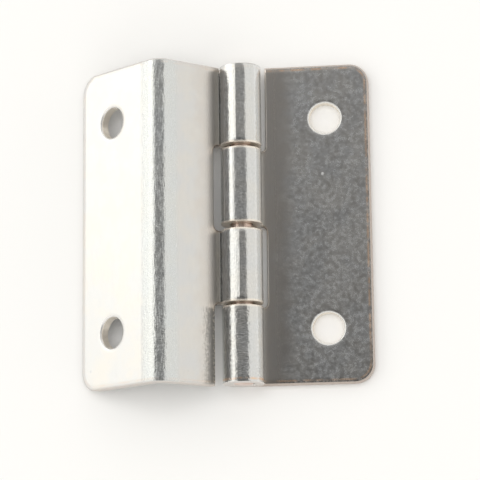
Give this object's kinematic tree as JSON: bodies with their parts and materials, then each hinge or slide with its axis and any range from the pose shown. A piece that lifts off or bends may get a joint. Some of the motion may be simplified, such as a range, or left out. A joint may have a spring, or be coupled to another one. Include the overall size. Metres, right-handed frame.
{
  "type": "cranked cabinet hinge",
  "caption": "Concealed cabinet hinge with a folded, cranked leaf and a flat leaf, both curled round a pin, with plain screw holes.",
  "frame": {"origin": "middle of the flat leaf's two screw holes, on its back face", "axes": "+Z out of the flat leaf's front face, +Y along the pin, +X from the pin towards the flat leaf's outer edge"},
  "size_m": [0.0451, 0.0503, 0.0109],
  "materials": {
    "flat_leaf_zinc": "bright zinc plate on rolled steel, slightly mottled",
    "cranked_leaf_zinc": "bright zinc plate on rolled steel",
    "pin_steel": "drawn steel wire, thin plating"
  },
  "bodies": {
    "flat_side": {"flat_leaf": "flat_leaf_zinc", "hinge_pin": "pin_steel"},
    "cranked_side": {"cranked_leaf": "cranked_leaf_zinc"}
  },
  "joints": [
    {"name": "pin_hinge", "type": "hinge", "parent": "flat_side", "child": "cranked_side", "pos_m": [-0.0129, -0.0003, 0.00318], "axis": [0, 1, 0], "range_deg": [-130, 150]}
  ]
}
